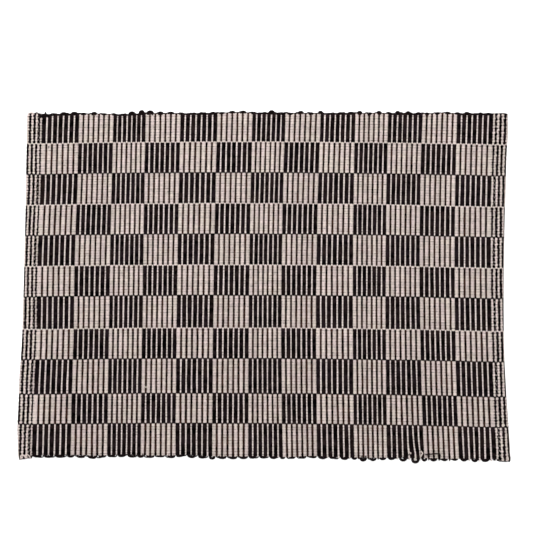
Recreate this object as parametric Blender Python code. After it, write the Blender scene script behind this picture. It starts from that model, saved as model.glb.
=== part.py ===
"""A ribbed cotton table mat, lying flat: one woven cloth whose two short ends are hems.

Frame: metres, +Z up. The origin is on the underside, at the centre of the mat's box. +X runs
along the mat's length towards the right-hand hem, and +Y runs across it towards the far edge.
The underside lies on z = 0.
"""

import math

import bmesh
import bpy
from mathutils import Vector

MM = 0.001

# The cloth. The ribbed middle is one layer, and each hem is two thinner layers.
CLOTH_THICK = 3.0 * MM
HEM_GAP = 0.3 * MM  # between the two layers of a hem
HEM_LAYER = (CLOTH_THICK - HEM_GAP) / 2
HEM_WIDTH = 13.5 * MM  # from the fold to the first thick rib
HEM_END_GAP = 0.6 * MM  # from the turned-under end to the ribbed middle
MAT_LENGTH = 457.0 * MM  # between the folds, at the mat's narrowest

# The weave, which sets where the solid has its rows and columns of faces.
BLOCKS_ALONG = 13
BANDS_ACROSS = 11
FOLD_STEPS = 8

# The outline, as uneven as the real mat lies. Distances are in millimetres from the origin.
# Across the mat, from the far edge to the near one: where each hem's fold lies.
#    y       left_x   right_x
SIDE_EDGES = [
    (166.0, -226.0, 232.4),
    (120.6, -227.0, 231.7),
    (69.0, -227.9, 229.6),
    (-2.4, -229.6, 228.7),
    (-60.0, -231.5, 229.1),
    (-107.6, -234.0, 231.6),
    (-136.1, -235.4, 233.6),
    (-164.0, -234.0, 235.4),
]
# Along the mat, from left to right: how far out the weft's turns reach at each long edge.
#    x        far_y   near_y
LONG_EDGES = [
    (-235.0, 165.7, -164.7),
    (-184.0, 166.3, -162.7),
    (-142.0, 166.3, -162.9),
    (-84.0, 166.5, -163.5),
    (-28.0, 167.7, -164.3),
    (34.0, 166.7, -163.9),
    (91.0, 166.9, -165.5),
    (139.0, 166.5, -168.1),
    (176.0, 166.3, -166.5),
    (235.0, 165.7, -167.5),
]

# The finish.
COTTON_COLOUR = (0.42, 0.37, 0.35, 1.0)  # black and natural yarn seen from afar
COTTON_ROUGHNESS = 0.92


def table_value(table, place, column):
    """Reads a column of an edge table at a place, with a smooth curve between its rows."""
    rows = sorted(table)
    place = min(max(place, rows[0][0]), rows[-1][0])
    last = len(rows) - 1
    low = max(n for n in range(last) if rows[n][0] <= place)
    before = rows[max(low - 1, 0)]
    start = rows[low]
    end = rows[low + 1]
    after = rows[min(low + 2, last)]
    span = end[0] - start[0]
    part = (place - start[0]) / span
    slope_in = (end[column] - before[column]) / (end[0] - before[0]) * span
    slope_out = (after[column] - start[column]) / (after[0] - start[0]) * span
    return (
        (2 * part**3 - 3 * part**2 + 1) * start[column]
        + (part**3 - 2 * part**2 + part) * slope_in
        + (3 * part**2 - 2 * part**3) * end[column]
        + (part**3 - part**2) * slope_out
    )


def lay_out(point):
    """Moves a point of the straight mat to where it lies in the uneven outline."""
    along = point.x / MAT_LENGTH + 0.5
    far_row, near_row = SIDE_EDGES[0], SIDE_EDGES[-1]
    y = far_row[0] + (near_row[0] - far_row[0]) * point.y
    left_x = table_value(SIDE_EDGES, y, 1)
    right_x = table_value(SIDE_EDGES, y, 2)
    x = left_x + (right_x - left_x) * along
    far_y = table_value(LONG_EDGES, x, 1)
    near_y = table_value(LONG_EDGES, x, 2)
    return Vector((x * MM, (far_y + (near_y - far_y) * point.y) * MM, point.z))


def middle_section(work):
    """Draws the ribbed middle in the XZ plane, a column of faces for each block."""
    length = MAT_LENGTH - 2 * HEM_WIDTH
    grid = bmesh.ops.create_grid(work, x_segments=BLOCKS_ALONG, y_segments=2, size=1.0)
    for vert in grid["verts"]:
        level = (0.0, HEM_LAYER + HEM_GAP, CLOTH_THICK)[round(vert.co.y) + 1]
        vert.co = Vector((vert.co.x * length / 2, 0.0, level))


def edge_middle(edge):
    """The point halfway along an edge."""
    return (edge.verts[0].co + edge.verts[1].co) / 2


def moved_edge(work, edge, shift):
    """Extrudes an edge of the section by a shift and returns the new edge."""
    target = edge_middle(edge) + shift
    made = bmesh.ops.extrude_edge_only(work, edges=[edge])["geom"]
    verts = [part for part in made if isinstance(part, bmesh.types.BMVert)]
    bmesh.ops.translate(work, verts=verts, vec=shift)
    edges = [part for part in made if isinstance(part, bmesh.types.BMEdge)]
    return min(edges, key=lambda part: (edge_middle(part) - target).length)


def hem_section(work, side):
    """Draws one hem in the XZ plane: out along the top, round the fold and back below."""
    seam_x = side * (MAT_LENGTH / 2 - HEM_WIDTH)
    seam_middle = Vector((seam_x, 0.0, CLOTH_THICK - HEM_LAYER / 2))
    seam = min(work.edges, key=lambda edge: (edge_middle(edge) - seam_middle).length)
    fold_radius = CLOTH_THICK / 2
    straight = HEM_WIDTH - fold_radius
    top_end = moved_edge(work, seam, Vector((side * straight, 0.0, 0.0)))
    fold = bmesh.ops.spin(
        work,
        geom=[top_end, *top_end.verts],
        cent=(side * (MAT_LENGTH / 2 - fold_radius), 0.0, fold_radius),
        axis=(0.0, 1.0, 0.0),
        dvec=(0.0, 0.0, 0.0),
        angle=side * math.pi,
        steps=FOLD_STEPS,
        use_merge=False,
        use_duplicate=False,
    )
    fold_end = next(part for part in fold["geom_last"] if isinstance(part, bmesh.types.BMEdge))
    moved_edge(work, fold_end, Vector((-side * (straight - HEM_END_GAP), 0.0, 0.0)))


def cloth_mesh():
    """Draws the cloth's section, runs it across the mat band by band, and lays it out."""
    work = bmesh.new()
    middle_section(work)
    for side in (-1, 1):
        hem_section(work, side)
    section = [*work.faces, *work.edges]
    for _ in range(BANDS_ACROSS):
        section = bmesh.ops.extrude_face_region(work, geom=section)["geom"]
        verts = [part for part in section if isinstance(part, bmesh.types.BMVert)]
        bmesh.ops.translate(work, verts=verts, vec=(0.0, 1.0 / BANDS_ACROSS, 0.0))
    for vert in work.verts:
        vert.co = lay_out(vert.co)
    bmesh.ops.recalc_face_normals(work, faces=work.faces)
    if work.calc_volume(signed=True) < 0:
        bmesh.ops.reverse_faces(work, faces=work.faces)
    mesh = bpy.data.meshes.new("mat_cloth")
    work.to_mesh(mesh)
    work.free()
    return mesh


def cotton_material():
    """The cloth's matt cotton."""
    material = bpy.data.materials.new("cotton")
    material.use_nodes = True
    shader = material.node_tree.nodes["Principled BSDF"]
    shader.inputs["Base Color"].default_value = COTTON_COLOUR
    shader.inputs["Roughness"].default_value = COTTON_ROUGHNESS
    shader.inputs["Metallic"].default_value = 0.0
    return material


def main():
    """Clears the scene and builds the mat."""
    for old in list(bpy.data.objects):
        bpy.data.objects.remove(old, do_unlink=True)
    cloth = bpy.data.objects.new("mat_cloth", cloth_mesh())
    cloth.data.materials.append(cotton_material())
    bpy.context.scene.collection.objects.link(cloth)


main()
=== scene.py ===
"""The looks of a ribbed cotton table mat: its weave, its weft turns, its hems and its setting.

Frame: metres, +Z up. The origin is on the underside, at the centre of the mat's box. +X runs
along the mat's length and +Y runs across it towards the far edge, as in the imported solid.
"""

from __future__ import annotations

import logging
import math
from dataclasses import dataclass, replace
from enum import Enum

import bmesh
import bpy
import numpy as np
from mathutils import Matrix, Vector
from numpy.typing import NDArray


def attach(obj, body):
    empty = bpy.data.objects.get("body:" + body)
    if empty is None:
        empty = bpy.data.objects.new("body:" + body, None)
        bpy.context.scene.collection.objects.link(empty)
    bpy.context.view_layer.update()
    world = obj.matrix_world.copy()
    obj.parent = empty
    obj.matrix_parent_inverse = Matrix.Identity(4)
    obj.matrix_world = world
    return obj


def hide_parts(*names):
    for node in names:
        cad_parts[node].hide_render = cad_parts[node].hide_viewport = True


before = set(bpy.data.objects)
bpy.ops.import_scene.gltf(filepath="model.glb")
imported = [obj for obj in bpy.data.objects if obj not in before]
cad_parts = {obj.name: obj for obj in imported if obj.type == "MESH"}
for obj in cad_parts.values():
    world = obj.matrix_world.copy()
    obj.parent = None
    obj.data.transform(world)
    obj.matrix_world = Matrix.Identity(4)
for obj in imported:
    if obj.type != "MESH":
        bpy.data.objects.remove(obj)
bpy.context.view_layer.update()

LOG = logging.getLogger("table_mat")

MM = 0.001
SOLID = "mat_cloth"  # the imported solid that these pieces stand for
BODY = "root"
THREAD_MAP = "threads"  # UV map: along the weave or the yarn in u, across it in v
SHEET_MAP = "OFBake"  # UV map: the faces laid side by side without overlap
SHARP_ANGLE = math.radians(62.0)  # an edge between faces that turn further than this stays sharp
ROUNDING = 1e-6  # how far off a number may be and still count as whole

Floats = NDArray[np.float64]
Whole = NDArray[np.int64]
Flags = NDArray[np.bool_]
Colour = tuple[float, float, float]
Triple = tuple[float, float, float]
# X, Y and Z of places in the cloth, and the X and Z of the way out through its front face.
Placed = tuple[Floats, Floats, Floats, Floats, Floats]
Socket = bpy.types.NodeSocket


class Cotton(Enum):
    """The two warp yarns. A value is the yarn's place among a length of cloth's materials.

    The same two follow once more for the thin ribs, as lighter copies whose colour is painted light.
    """

    NATURAL = 0
    BLACK = 1


class Face(Enum):
    """The two faces of the cloth. A value is the way that face looks in Z, where it lies flat."""

    FRONT = 1
    BACK = -1


class Edge(Enum):
    """The two woven edges. A value is the way out of the cloth in Y."""

    FAR = 1
    NEAR = -1


class Hem(Enum):
    """The two hems. A value is the way out of the cloth in X."""

    LEFT = -1
    RIGHT = 1


def eased(share: Floats) -> Floats:
    """Turns a straight ramp from 0 to 1 into one with soft ends."""
    share = np.clip(share, 0.0, 1.0)
    return share * share * (3.0 - 2.0 * share)


def between(table: Floats, line: Floats, knot: Floats) -> Floats:
    """Reads a table between its rows and its columns.

    Args:
        table: The values, a row for each line and a column for each knot.
        line: Which rows to read, as places that may fall between two rows.
        knot: Which columns to read, likewise.

    Returns:
        The values there, with the shape that line and knot have together.
    """
    row = np.clip(np.floor(line).astype(int), 0, table.shape[0] - 2)
    column = np.clip(np.floor(knot).astype(int), 0, table.shape[1] - 2)
    down = np.clip(line - row, 0.0, 1.0)
    across = eased(knot - column)
    upper = table[row, column] * (1.0 - across) + table[row, column + 1] * across
    lower = table[row + 1, column] * (1.0 - across) + table[row + 1, column + 1] * across
    return upper * (1.0 - down) + lower * down


def poured(work: bmesh.types.BMesh, name: str) -> bpy.types.Mesh:
    """Turns modelled work into a mesh with a name, and clears the work away."""
    mesh = bpy.data.meshes.new(name)
    work.to_mesh(mesh)
    work.free()
    return mesh


def through_three(first: Floats, middle: Floats, last: Floats, place: Floats) -> Floats:
    """Reads the parabola through three values.

    Args:
        first: The value at place -1.
        middle: The value at place 0.
        last: The value at place 1.
        place: Where to read.

    Returns:
        The values at those places.
    """
    return (
        first * place * (place - 1.0) / 2.0
        + middle * (1.0 - place * place)
        + last * place * (place + 1.0) / 2.0
    )


@dataclass(frozen=True)
class Weave:
    """The threading: how wide each rib is, and which yarn it shows at each warp end.

    Ribs are counted from the left. Rib 0 is the left hem's outermost pick above. The picks before
    it, and the last ones of the right hem, lie below. Warp ends are counted from the far edge.
    """

    blocks: int = 13
    ribs_in_block: int = 13
    hem_picks: int = 7  # above; the last of them lies round the fold
    turned_picks: int = 6  # below
    ends_in_band: tuple[int, ...] = (22, 24, 24, 24, 24, 22, 24, 22, 25, 21, 24)
    thick_rib: float = 3.52 * MM
    thin_rib: float = 1.43 * MM
    hem_rib: float = 2.0 * MM
    closed_ribs: int = 60  # up to this one, the near edge's turns touch one another
    pinch_reach: float = 0.75  # how near a line between bands a row is drawn to it, in ends

    @property
    def ends(self) -> int:
        """How many warp ends the cloth has."""
        return sum(self.ends_in_band)

    @property
    def band_lines(self) -> Floats:
        """The end that each band starts at, and the number of ends."""
        return np.cumsum((0, *self.ends_in_band)).astype(float)

    @property
    def first_pick(self) -> int:
        """The number of the pick at the left hem's turned-under end."""
        return -self.turned_picks

    @property
    def first_rib(self) -> int:
        """The number of the first rib of the ribbed middle."""
        return self.hem_picks

    @property
    def last_rib(self) -> int:
        """One more than the number of the last rib of the ribbed middle."""
        return self.first_rib + self.blocks * self.ribs_in_block

    @property
    def last_pick(self) -> int:
        """One more than the number of the pick at the right hem's turned-under end."""
        return self.last_rib + self.hem_picks + self.turned_picks

    def in_hem(self, rib: Whole) -> Flags:
        """Says which ribs are picks of a hem."""
        return (rib < self.first_rib) | (rib >= self.last_rib)

    def is_thick(self, rib: Whole) -> Flags:
        """Says which ribs are woven over the thick weft."""
        place = (rib - self.first_rib) % self.ribs_in_block
        return ~self.in_hem(rib) & (place % 2 == 0)

    def is_thin(self, rib: Whole) -> Flags:
        """Says which ribs are woven over the thin weft."""
        return ~self.in_hem(rib) & ~self.is_thick(rib)

    def thick_ribs(self) -> Whole:
        """Gives the numbers of the ribs woven over the thick weft, in order."""
        ribs = np.arange(self.first_rib, self.last_rib)
        return ribs[self.is_thick(ribs)]

    def thin_ribs(self) -> Whole:
        """Gives the numbers of the ribs woven over the thin weft, in order."""
        ribs = np.arange(self.first_rib, self.last_rib)
        return ribs[self.is_thin(ribs)]

    def turned_at_far_edge(self, rib: Whole) -> Flags:
        """Says which thin ribs lie between two thick ones that a turn of the far edge joins."""
        return np.searchsorted(self.thick_ribs(), rib) % 2 == 0

    def width(self, rib: Whole) -> Floats:
        """Gives the width of each rib before the cloth is laid down."""
        plain = np.where(self.is_thick(rib), self.thick_rib, self.thin_rib)
        return np.where(self.in_hem(rib), self.hem_rib, plain)

    def length_to(self, place: Floats) -> Floats:
        """Gives how far along the cloth each place is.

        Args:
            place: Places counted in ribs, where a whole number is the groove before that rib.

        Returns:
            The distances from the left hem's inner line, in metres.
        """
        ribs = np.arange(self.first_pick, self.last_pick)
        grooves = np.concatenate(([0.0], np.cumsum(self.width(ribs))))
        grooves -= grooves[self.first_rib - self.first_pick]
        return np.interp(place, np.arange(self.first_pick, self.last_pick + 1), grooves)

    def band(self, end: Whole) -> Whole:
        """Gives the band that each warp end belongs to."""
        return np.searchsorted(self.band_lines, end, side="right") - 1

    def shown_end(self, rib: Whole, strip: Whole, face: Whole) -> Whole:
        """Gives the warp end that covers a rib at a strip of faces.

        Args:
            rib: The ribs.
            strip: The strips, where strip k lies between the middles of ends k - 1 and k.
            face: The values of Face.

        Returns:
            The ends whose yarn passes over the weft there.
        """
        shed = (rib + (face + 1) // 2) % 2
        end = np.where((strip - 1) % 2 == shed, strip - 1, strip)
        end = np.where(end < 0, end + 2, end)
        return np.where(end >= self.ends, end - 2, end)

    def yarn(self, end: Whole) -> Whole:
        """Gives the value of Cotton that each warp end is wound from."""
        odd = (end + self.band(end)) % 2 == 1
        return np.where(odd, Cotton.NATURAL.value, Cotton.BLACK.value)

    def bare_weft(self, rib: Whole, strip: Whole, face: Whole) -> Flags:
        """Says where a rib's black weft lies bare at the woven edges.

        Args:
            rib: The ribs.
            strip: The strips, as in shown_end.
            face: The values of Face.

        Returns:
            Flags that are true beyond the last end that passes over the weft at the far edge, and
            where the near edge's turns draw thin ribs in.
        """
        outermost_below = (rib + (face + 1) // 2) % 2 == 1
        far = outermost_below & (strip < np.where(self.is_thick(rib), 1, 2))
        drawn_in = ~self.turned_at_far_edge(rib) | (rib < self.closed_ribs)
        near = self.is_thin(rib) & drawn_in & (strip == self.ends)
        return ~self.in_hem(rib) & (far | near)

    def fuller_side(self, groove: Whole, end: Whole, face: Whole) -> Floats:
        """Says which way the black yarn, which is the fuller one, presses a groove.

        Args:
            groove: The grooves, each numbered as the rib after it.
            end: The warp ends there.
            face: The values of Face.

        Returns:
            1 where a groove is pressed towards the next rib, and -1 towards the last one.
        """
        black_first = (groove + self.band(np.clip(end, 0, self.ends - 1))) % 2 == 0
        return np.where(black_first, 1.0, -1.0) * face

    def pinched(self, end: Floats, share: Floats) -> Floats:
        """Draws the two rows beside a line between bands together.

        Two ends of one colour lie side by side there, and they close up.

        Args:
            end: Places across the cloth, counted in ends.
            share: How much of its distance to the line each place keeps.

        Returns:
            The places, changed only within an end of such a line.
        """
        lines = self.band_lines[1:-1]
        nearest = lines[np.abs(end[..., None] - lines).argmin(axis=-1)]
        off = end - nearest
        return np.where(np.abs(off) < self.pinch_reach, nearest + off * share, end)


@dataclass(frozen=True)
class FoldLine:
    """Where the two hems fold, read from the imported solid's outline."""

    across: tuple[float, ...]
    left: tuple[float, ...]
    right: tuple[float, ...]
    corner_shift: float = 1.6 * MM  # how far the near left corner is drawn in
    corner_reach: float = 10.0 * MM  # from that corner along the fold
    tip_band: float = 0.01 * MM  # how near the middle height a fold's tip lies
    tip_digits: int = 6  # to how many digits of a metre two tips count as one

    @classmethod
    def of_solid(cls, name: str) -> FoldLine:
        """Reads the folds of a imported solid.

        Args:
            name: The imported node.

        Returns:
            The fold lines, as places in Y and the X of each fold there.
        """
        places = np.array([tuple(v.co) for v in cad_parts[name].data.vertices])
        height = (places[:, 2].min() + places[:, 2].max()) / 2.0
        tips = places[np.abs(places[:, 2] - height) < cls.tip_band]
        tips = np.unique(np.round(tips, cls.tip_digits), axis=0)
        # Each fold has an outer and an inner wall, and the outer one counts.
        outer = [
            tip
            for tip in tips
            if not any(
                abs(other[1] - tip[1]) < MM and other[0] * tip[0] > tip[0] ** 2 for other in tips
            )
        ]
        left = np.array(sorted((tip[1], tip[0]) for tip in outer if tip[0] < 0.0))
        right = np.array(sorted((tip[1], tip[0]) for tip in outer if tip[0] > 0.0))
        right_x = np.interp(left[:, 0], right[:, 0], right[:, 1])
        return cls(tuple(left[:, 0]), tuple(left[:, 1]), tuple(right_x))

    def x_at(self, side: Hem, y: Floats) -> Floats:
        """Gives the X of a hem's fold at places in Y."""
        if side is Hem.RIGHT:
            return np.interp(y, self.across, self.right)
        to_corner = (y - self.across[0]) / self.corner_reach
        drawn_in = self.corner_shift * eased(1.0 - np.clip(to_corner, 0.0, 1.0))
        return np.interp(y, self.across, self.left) + drawn_in


@dataclass(frozen=True)
class HemShape:
    """How one hem lies. Three values are for the far edge, the middle and the near edge."""

    pick_widths: Triple
    fold_insets: Triple  # how far the fold lies inside the solid's
    # Two values are for the far corner and the near one.
    flares: tuple[float, float]  # how far it spreads in Y past the ribbed middle
    corner_rounds: tuple[float, float]  # how far the fold's end draws back in Y, or stands out


@dataclass
class LaidCloth:
    """The cloth as it lies: uneven block lines, uneven bands, hems folded under."""

    weave: Weave
    folds: FoldLine
    seed: int = 7

    thickness: float = 3.0 * MM
    hem_gap: float = 0.3 * MM  # between the two layers of a hem
    hem_end_gap: float = 0.6 * MM  # from the turned-under end to the ribbed middle
    seam_height: float = 1.9 * MM  # the middle of the groove where a hem starts

    thick_crest: float = 1.30 * MM  # from the middle of the cloth
    thin_crest: float = 1.12 * MM
    hem_crest: float = 0.56 * MM
    groove: float = 0.36 * MM
    hem_groove: float = 0.26 * MM
    rib_roundness: float = 0.6  # 0.5 is half an ellipse

    bar_relief: float = 0.22 * MM  # from a bar's crest to the dip beside it
    hem_bar_relief: float = 0.14 * MM
    bar_unevenness: float = 0.035 * MM
    most_uneven: float = 2.5  # the most that chance adds or takes, in times the usual
    scallop: float = 0.17 * MM  # how far a bar pushes the groove aside
    scallop_unevenness: float = 0.05 * MM
    hem_scallop: float = 0.38 * MM
    hem_scallop_unevenness: float = 0.16 * MM
    # How far a black rib presses the grooves beside it.
    thick_fullness: float = 0.07 * MM
    thin_fullness: tuple[float, float] = (0.15 * MM, 0.28 * MM)  # far half, near edge
    hem_fullness: float = 0.22 * MM
    seam_press: float = 0.36 * MM  # how far the first and the last thick rib press on the hems
    pick_press: float = 0.20 * MM  # how far the left hem's second pick presses on its first
    # What the two rows at a line between bands keep of their distance to it.
    line_share_in_groove: float = 0.12
    line_share_on_crest: float = 0.62
    stitch_pitch: float = 4.15 * MM  # along the hems
    stitch_pull: float = 0.30 * MM  # how far the hem's stitches pull its picks together
    stitch_lag: float = 0.23  # how much of a stitch each pick's waves lie behind the last one's
    rib_wander: float = 0.08 * MM
    end_wander: float = 0.12 * MM
    swell: float = 0.25 * MM  # the most that the cloth stands off the table

    knots_across: int = 20
    knots_along: int = 28

    # Where the lines between the blocks lie, in millimetres from the middle of the mat.
    #   far edge, middle, near edge
    block_lines: tuple[Triple, ...] = (
        (-210.7, -215.7, -220.6),
        (-175.6, -180.5, -183.9),
        (-143.0, -146.8, -149.1),
        (-112.6, -115.1, -117.4),
        (-79.2, -82.5, -84.1),
        (-44.2, -47.7, -49.3),
        (-10.7, -14.0, -14.8),
        (20.6, 16.8, 17.9),
        (54.1, 49.9, 50.7),
        (87.1, 84.6, 86.1),
        (118.3, 115.9, 117.3),
        (151.0, 148.2, 152.6),
        (184.0, 181.5, 185.8),
        (218.0, 215.7, 221.2),
    )
    # Where the lines between the bands lie, the far edge first and the near edge last.
    #   left, middle, right
    band_lines: tuple[Triple, ...] = (
        (164.4, 165.3, 164.6),
        (136.1, 137.8, 135.2),
        (106.9, 108.6, 105.7),
        (77.6, 79.2, 75.9),
        (48.8, 50.3, 47.2),
        (19.4, 20.8, 17.8),
        (-9.6, -8.1, -11.2),
        (-40.5, -39.2, -42.3),
        (-69.3, -68.3, -71.4),
        (-102.2, -101.5, -104.6),
        (-130.7, -130.1, -133.5),
        (-160.4, -161.4, -163.6),
    )
    band_line_reach: float = 210.0 * MM  # the left and right columns lie this far out
    # The left blocks lie a little further in around two of the bands.
    #   how far, the band, and over how many bands
    bellies: tuple[Triple, ...] = (
        (0.55 * MM, 2.4, 1.0),
        (0.9 * MM, 7.3, 1.4),
    )
    belly_length: float = 95.0 * MM
    left_hem: HemShape = HemShape(
        pick_widths=(2.06 * MM, 1.97 * MM, 2.14 * MM),
        fold_insets=(0.3 * MM, 0.5 * MM, 0.0),
        flares=(0.9 * MM, 3.2 * MM),
        corner_rounds=(0.6 * MM, -0.8 * MM),
    )
    right_hem: HemShape = HemShape(
        pick_widths=(2.11 * MM, 2.17 * MM, 2.29 * MM),
        fold_insets=(-0.1 * MM, 0.3 * MM, 0.15 * MM),
        flares=(0.4 * MM, 2.3 * MM),
        corner_rounds=(0.7 * MM, 0.5 * MM),
    )
    flare_ends: float = 14.0  # how many ends a corner's spread takes
    flare_picks: float = 3.0  # how many picks out from the inner line it is all there
    corner_ends: float = 4.0  # how many ends the drawing back takes
    corner_pick: float = 0.3  # where it is most, in picks inside the last one above
    corner_picks: float = 1.6  # and to how many picks from there it reaches
    climb: float = 3.0  # 1 / the share of a pick in which a hem's top layer rises to its height
    # Places where the cloth lies aside, all in mm.
    #   X, Y, how far along X and along Y, and the place's reach along X and along Y
    lies_aside: tuple[tuple[float, float, float, float, float, float], ...] = (
        (143.0, -164.0, 1.9, -0.3, 5.5, 12.0),
        (208.0, -163.0, -0.8, -0.6, 7.0, 14.0),
        (-233.0, -84.0, -0.8, 0.0, 5.0, 17.0),
        (231.0, 118.0, -0.5, 0.0, 5.0, 17.0),
        (232.0, 146.0, 0.5, 0.0, 5.0, 9.0),
        (-208.0, 166.0, 0.0, -0.4, 14.0, 12.0),
        (-137.0, 166.0, 0.0, -0.85, 13.0, 12.0),
        (-26.0, 166.0, 0.0, 1.0, 15.0, 12.0),
        (0.0, 166.0, 0.0, 0.5, 9.0, 12.0),
        (106.0, 166.0, 0.0, 0.4, 12.0, 12.0),
        (170.0, 166.0, 0.0, 0.8, 9.0, 12.0),
        (204.0, 166.0, 0.0, 0.4, 20.0, 12.0),
        (-183.0, -164.0, 0.0, 0.4, 15.0, 12.0),
        (-162.0, -164.0, 0.0, -0.7, 6.0, 12.0),
        (-131.0, -164.0, 0.0, 1.0, 10.0, 12.0),
        (-74.0, -164.0, 0.0, 1.3, 10.0, 12.0),
        (-36.0, -164.0, 0.0, -0.5, 20.0, 12.0),
        (18.0, -164.0, 0.0, -0.6, 14.0, 12.0),
        (46.0, -164.0, 0.0, 0.7, 12.0, 12.0),
        (95.0, -164.0, 0.0, -0.6, 22.0, 12.0),
        (175.0, -164.0, 0.0, -0.6, 25.0, 12.0),
    )
    # How much of its thickness the cloth keeps at places counted in ends from a woven edge.
    thinned_ends: tuple[float, ...] = (0.0, 0.5, 1.5)
    thinned_to: tuple[float, ...] = (0.62, 0.93, 1.0)
    edge_row: float = 0.25  # a row of points this near an edge lies on it, in ends
    rib_end_bulge: float = 0.45 * MM  # how far a thick rib's end stands out between its grooves
    poke_left: float = -0.5 * MM  # how far thin ribs poke out between the near edge's turns
    poke_right: float = 2.3 * MM
    # The poke grows from left to right along the mat, as a slope and what is taken from it.
    poke_slope: float = 1.6
    poke_delay: float = 0.5

    def __post_init__(self) -> None:
        """Draws the seeded unevenness once, so that every piece shares it."""
        draw = np.random.default_rng(self.seed)
        lines = self.weave.last_pick - self.weave.first_pick + 1
        self._rib_table = draw.normal(0.0, 1.0, (lines, self.knots_across))
        self._end_table = draw.normal(0.0, 1.0, (self.weave.ends + 2, self.knots_along))
        self._swell_table = draw.uniform(0.0, 1.0, (self.knots_along, self.knots_across))
        chances = draw.normal(0.0, 1.0, (lines, self.weave.ends + 2))
        self._bar_table = chances.clip(-self.most_uneven, self.most_uneven)

    @property
    def hem_layer(self) -> float:
        """The thickness of one layer of a hem."""
        return (self.thickness - self.hem_gap) / 2.0

    @property
    def half_width(self) -> float:
        """Half of the cloth's width, across its middle."""
        return (self.band_lines[0][1] - self.band_lines[-1][1]) / 2.0 * MM

    def hem(self, side: Hem) -> HemShape:
        """Gives the shape of one of the hems."""
        return self.left_hem if side is Hem.LEFT else self.right_hem

    def groove_x(self, length: Floats, end: Floats) -> Floats:
        """Gives the X of places on the ribbed middle.

        Args:
            length: Distances along the cloth from the left hem's inner line.
            end: Places across the cloth, counted in ends.

        Returns:
            Their X, and beyond the ribbed middle the X of its nearest line.
        """
        lines = np.array(self.block_lines) * MM
        first = self.weave.first_rib
        starts = first + self.weave.ribs_in_block * np.arange(self.weave.blocks + 1)
        knots = self.weave.length_to(starts.astype(float))
        columns = [np.interp(length, knots, lines[:, n]) for n in range(3)]
        bowed = through_three(*columns, 2.0 * end / self.weave.ends - 1.0)
        band = end / self.weave.ends * len(self.weave.ends_in_band)
        near_left = eased(1.0 - np.clip(length, 0.0, None) / self.belly_length)
        for shift, middle, spread in self.bellies:
            bowed = bowed + shift * np.exp(-(((band - middle) / spread) ** 2)) * near_left
        return bowed

    def end_y(self, x: Floats, end: Floats) -> Floats:
        """Gives the Y of places across the cloth.

        Args:
            x: Their X.
            end: Places across the cloth, counted in ends from the far edge.

        Returns:
            Their Y, with the bands as unequal and as bowed as they lie.
        """
        lines = np.array(self.band_lines) * MM
        columns = [np.interp(end, self.weave.band_lines, lines[:, n]) for n in range(3)]
        return through_three(*columns, x / self.band_line_reach)

    def centre(self, length: Floats, end: Floats) -> Placed:
        """Gives the middle of the cloth's thickness, hems folded.

        Args:
            length: Distances along the cloth from the left hem's inner line.
            end: Places across the cloth, counted in ends.

        Returns:
            X, Y and Z, and the X and Z of the way out through the front face.
        """
        length, end = np.broadcast_arrays(length, end)
        middle_length = self.weave.length_to(np.array(float(self.weave.last_rib)))
        seam_x = self.groove_x(length, end)
        y = self.end_y(seam_x, end)
        out_x = np.zeros_like(seam_x)
        out_z = np.ones_like(seam_x)
        x = seam_x.copy()
        z = np.full_like(seam_x, self.thickness / 2.0)
        for side in Hem:
            past = -length if side is Hem.LEFT else length - middle_length
            here = past > -ROUNDING * MM
            across = 2.0 * end / self.weave.ends - 1.0
            width = np.abs(self.folds.x_at(side, y) - seam_x)
            width = width - through_three(*self.hem(side).fold_insets, across)
            pitch = through_three(*self.hem(side).pick_widths, across)
            fold_x, fold_z, lean, rise = self.folded(past / self.weave.hem_rib, width, pitch)
            x = np.where(here, seam_x + side.value * fold_x, x)
            z = np.where(here, fold_z, z)
            out_x = np.where(here, side.value * lean, out_x)
            out_z = np.where(here, rise, out_z)
            y = y + np.where(here, self.flare(side, past, end), 0.0)
        return x, y, z, out_x, out_z

    def folded(
        self, pick: Floats, width: Floats, pitch: Floats
    ) -> tuple[Floats, Floats, Floats, Floats]:
        """Gives a hem's section, from its inner line out, round the fold and back below.

        Args:
            pick: Places counted in picks from the inner line.
            width: The hem's width there.
            pitch: The picks' width there.

        Returns:
            How far out and how high the middle of the layer is, and the way out of its front.
        """
        radius = self.thickness / 2.0
        quarter = radius * math.pi / 2.0
        straight = width - radius
        above = straight + quarter
        shown = self.weave.hem_picks
        last = (shown - 1.0) * pitch
        round_fold = last + (pick - shown + 1.0) * (above - last)
        below = above + (pick - shown) / self.weave.turned_picks * (above - self.hem_end_gap)
        run = np.where(pick <= shown, round_fold, below)
        run = np.where(pick <= shown - 1.0, pick * pitch, run)
        angle = np.clip((run - straight) / radius, 0.0, math.pi)
        back = np.maximum(run - straight - 2.0 * quarter, 0.0)
        middle = radius - self.hem_layer / 2.0
        out = np.minimum(run, straight) + middle * np.sin(angle) - back
        level = radius + middle * np.cos(angle)
        risen = eased(pick * self.climb)
        height = self.seam_height * (1.0 - risen) + level * risen
        return out, height, np.sin(angle), np.cos(angle)

    def flare(self, side: Hem, past: Floats, end: Floats) -> Floats:
        """Gives how far a hem's corners spread in Y past the ribbed middle."""
        outward = eased(past / (self.flare_picks * self.weave.hem_rib))
        from_fold = past / self.weave.hem_rib - self.weave.hem_picks + self.corner_pick
        at_fold = eased(1.0 - np.abs(from_fold) / self.corner_picks)
        shape = self.hem(side)
        inwards = (end, self.weave.ends - end)
        total = np.zeros_like(end)
        for edge, inward, flare, back in zip(Edge, inwards, shape.flares, shape.corner_rounds):
            spread = flare * eased(1.0 - inward / self.flare_ends) * outward
            drawn_back = back * at_fold * eased(1.0 - inward / self.corner_ends)
            total = total + edge.value * (spread - drawn_back)
        return total

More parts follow.
